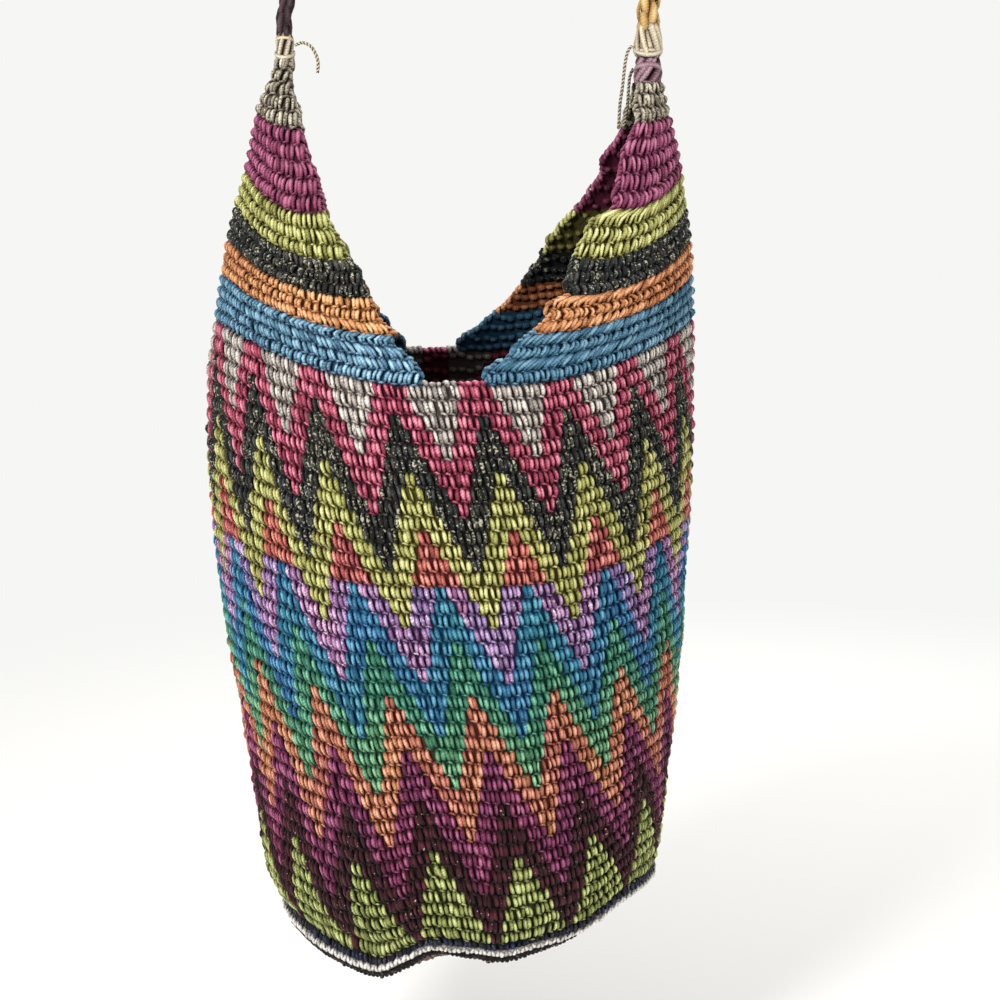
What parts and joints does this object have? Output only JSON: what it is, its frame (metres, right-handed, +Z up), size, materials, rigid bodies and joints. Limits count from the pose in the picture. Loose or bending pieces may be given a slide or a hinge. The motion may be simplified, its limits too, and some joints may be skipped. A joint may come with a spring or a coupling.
{
  "type": "crocheted mochila shoulder bag",
  "caption": "Crocheted tube bag with a round base, a deep scooped mouth, two tapering horns and a cord shoulder strap, with zigzag bands of coloured yarn.",
  "frame": {"origin": "underside of the strap at its highest point, where the bag hangs from what holds it", "axes": "+Z up as the bag hangs, +X to the right as its front is seen, -Y towards the viewer"},
  "size_m": [0.2618, 0.2458, 0.7667],
  "materials": {
    "crochet_wall": "single-crochet stitches of dyed cotton yarn, matt, in bands and zigzags of many colours",
    "strap_cord": "crocheted yarn cord, matt, violet-brown at one end and tan at the other",
    "cream_tie": "wound cream yarn, matt",
    "plum_lashing": "wound plum yarn, matt",
    "yarn_end": "loose plied yarn, matt"
  },
  "bodies": {
    "root": {"bag_body": "crochet_wall", "strap": "strap_cord", "left_wrap": "cream_tie", "right_lashing": "plum_lashing", "right_knot": "cream_tie", "left_tail": "yarn_end", "right_tail": "yarn_end", "right_short_tail": "yarn_end"}
  },
  "joints": []
}
